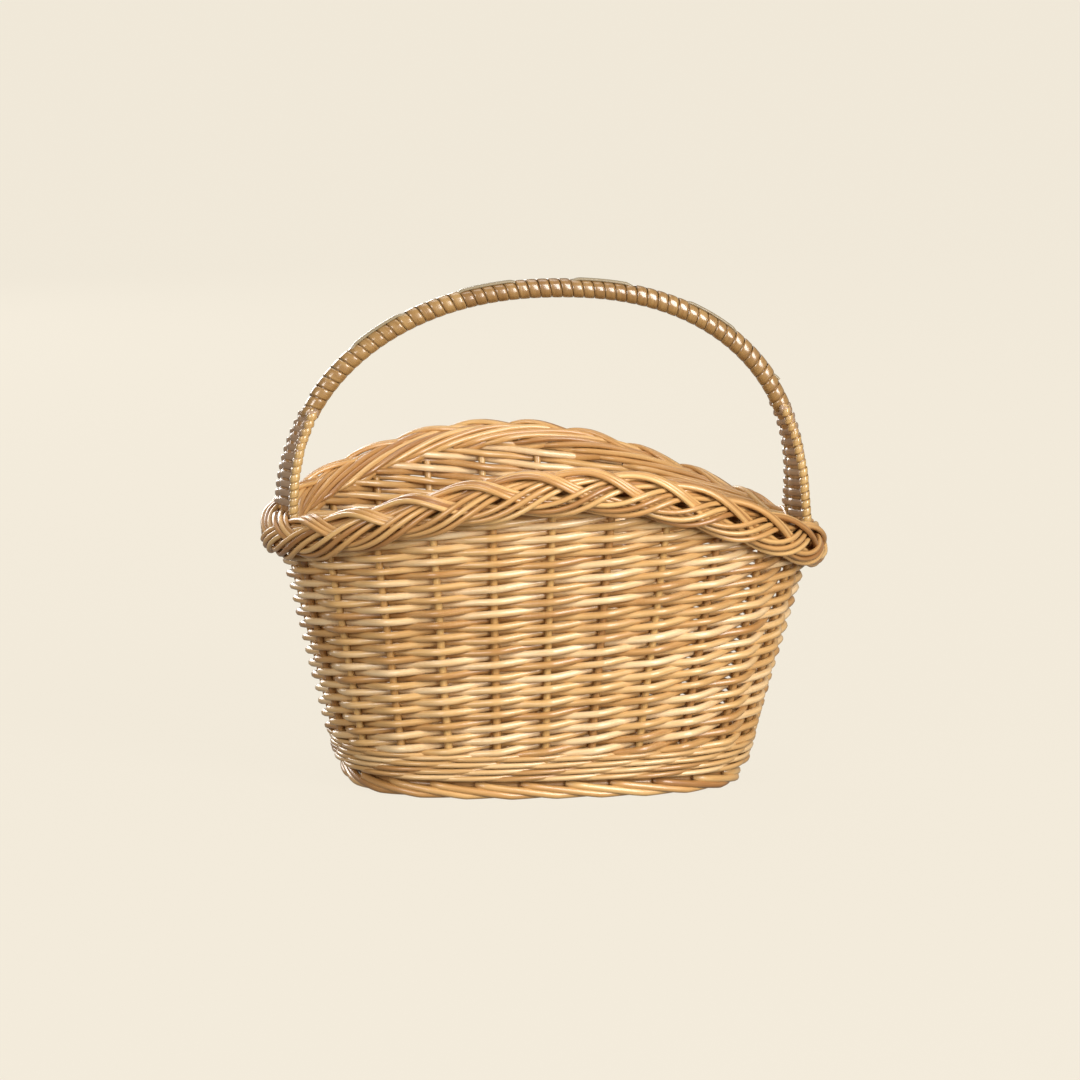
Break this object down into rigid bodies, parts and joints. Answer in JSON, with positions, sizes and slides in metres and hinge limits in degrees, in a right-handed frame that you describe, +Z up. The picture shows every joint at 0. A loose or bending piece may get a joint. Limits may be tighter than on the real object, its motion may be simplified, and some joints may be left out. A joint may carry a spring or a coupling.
{
  "type": "woven market basket",
  "caption": "Oval willow basket with flared woven walls, a plaited border that dips at both ends, a foot border and a fixed cane-wrapped bow handle.",
  "frame": {"origin": "on the floor under the middle of the oval, at the bottom centre of the bounding box", "axes": "+X along the length, towards the lower end of the border; +Y across the width, to the back; +Z up"},
  "size_m": [0.44, 0.336, 0.3876],
  "materials": {
    "willow_weave": "satin",
    "willow_border": "satin",
    "willow_stake": "satin",
    "willow_base": "satin",
    "handle_rod": "satin",
    "cane_lapping": "glossy",
    "leader_strip": "satin"
  },
  "bodies": {
    "root": {"base_cross_stick_1": "willow_base", "base_cross_stick_2": "willow_base", "base_cross_stick_3": "willow_base", "base_cross_stick_4": "willow_base", "base_cross_stick_5": "willow_base", "base_long_stick_1": "willow_base", "base_long_stick_2": "willow_base", "base_long_stick_3": "willow_base", "base_weave": "willow_base", "foot_border": "willow_border", "handle_bow": "handle_rod", "handle_lapping": "cane_lapping", "handle_leader": "leader_strip", "handle_rib_left_back": "handle_rod", "handle_rib_left_front": "handle_rod", "handle_rib_right_back": "handle_rod", "handle_rib_right_front": "handle_rod", "leg_binding_left": "cane_lapping", "leg_binding_right": "cane_lapping", "rim_plait": "willow_border", "siding": "willow_weave", "stake_01": "willow_stake", "stake_02": "willow_stake", "stake_03": "willow_stake", "stake_04": "willow_stake", "stake_05": "willow_stake", "stake_06": "willow_stake", "stake_07": "willow_stake", "stake_08": "willow_stake", "stake_09": "willow_stake", "stake_10": "willow_stake", "stake_11": "willow_stake", "stake_12": "willow_stake", "stake_13": "willow_stake", "stake_14": "willow_stake", "stake_15": "willow_stake", "stake_16": "willow_stake", "stake_17": "willow_stake", "stake_18": "willow_stake", "stake_19": "willow_stake", "stake_20": "willow_stake", "stake_21": "willow_stake", "stake_22": "willow_stake", "stake_23": "willow_stake", "stake_24": "willow_stake", "wale_round_1": "willow_weave", "wale_round_2": "willow_weave", "wale_round_3": "willow_weave", "wale_round_4": "willow_weave"}
  },
  "joints": []
}
